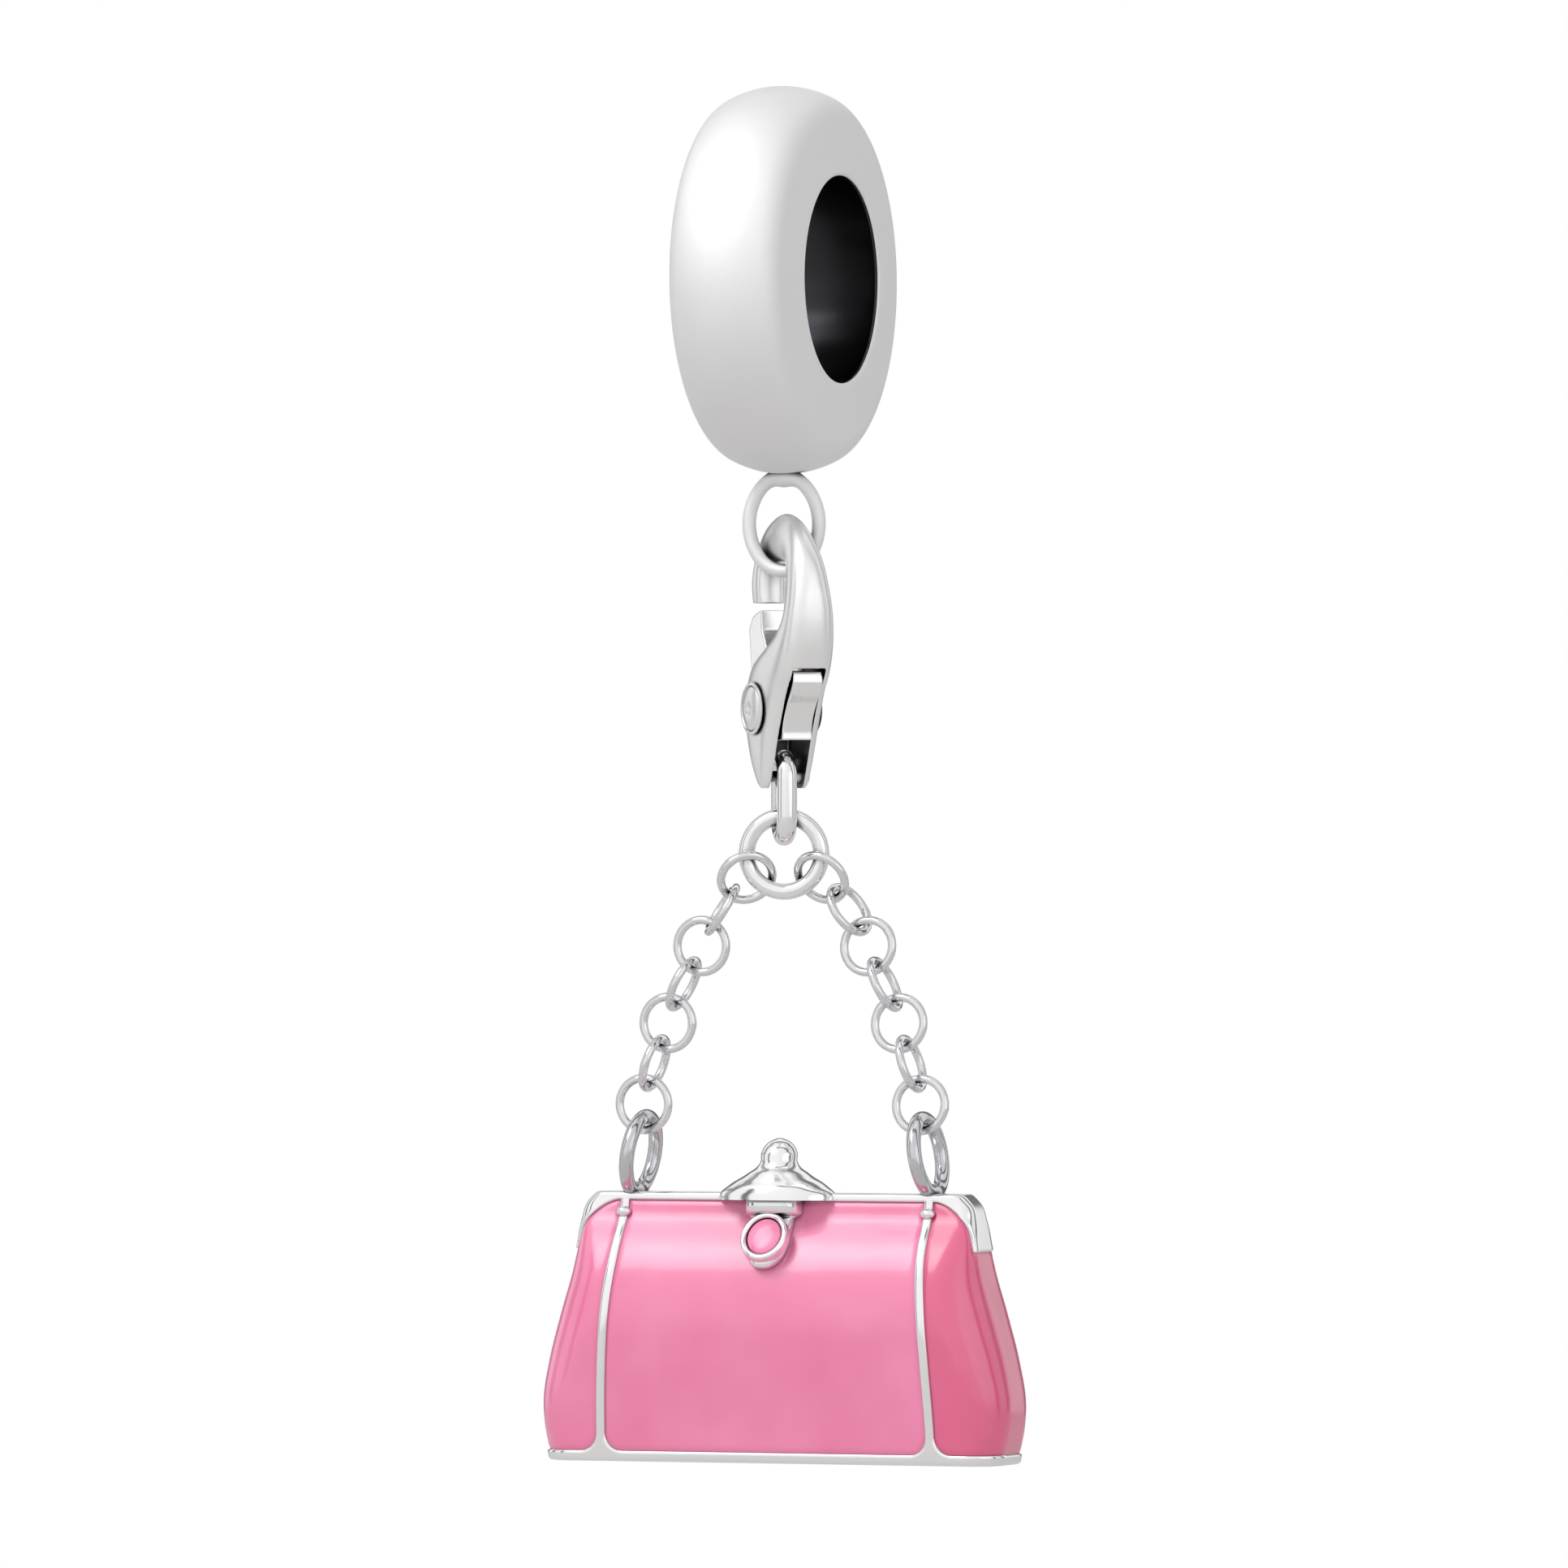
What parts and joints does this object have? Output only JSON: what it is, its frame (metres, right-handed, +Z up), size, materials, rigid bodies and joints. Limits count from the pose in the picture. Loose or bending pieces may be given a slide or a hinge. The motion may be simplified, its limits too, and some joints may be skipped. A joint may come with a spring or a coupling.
{
  "type": "dangle charm",
  "caption": "Silver dangle charm: a wide-bore bead carries a lobster clasp, from which a ring and link chains hold a small handbag in pink enamel with a kiss lock.",
  "frame": {"origin": "centre of the bead's bore, where the bracelet runs through", "axes": "+Z up along the hang, +X along the bead's bore, -Y the front of the handbag"},
  "size_m": [0.0122, 0.0096, 0.0339],
  "materials": {
    "satin_silver": "satin",
    "polished_silver": "polished",
    "pink_enamel": "glossy"
  },
  "bodies": {
    "bead": {"carrier_bead": "satin_silver"},
    "drop": {"clasp_body": "polished_silver", "clasp_rivet": "polished_silver", "clasp_link": "polished_silver", "drop_ring": "polished_silver", "chain_left_1": "polished_silver", "chain_left_2": "polished_silver", "chain_left_3": "polished_silver", "chain_left_4": "polished_silver", "chain_left_5": "polished_silver", "chain_left_6": "polished_silver", "chain_left_7": "polished_silver", "chain_right_1": "polished_silver", "chain_right_2": "polished_silver", "chain_right_3": "polished_silver", "chain_right_4": "polished_silver", "chain_right_5": "polished_silver", "chain_right_6": "polished_silver", "chain_right_7": "polished_silver", "bag_casting": "polished_silver", "enamel_front": "pink_enamel", "enamel_back": "pink_enamel", "enamel_left": "pink_enamel", "enamel_right": "pink_enamel", "enamel_tab": "pink_enamel"},
    "lever": {"clasp_lever": "polished_silver"}
  },
  "joints": [
    {"name": "drop_swing", "type": "hinge", "parent": "bead", "child": "drop", "pos_m": [0, 0, -0.00717], "axis": [1, 0, 0], "range_deg": [-15, 15]},
    {"name": "lever_open", "type": "hinge", "parent": "drop", "child": "lever", "pos_m": [-0.00007, 0.00007, -0.01056], "axis": [0.7278, 0.6858, 0], "range_deg": [0, 20], "stiffness_Nm_per_rad": 0.003, "springref_deg": -14.32}
  ]
}
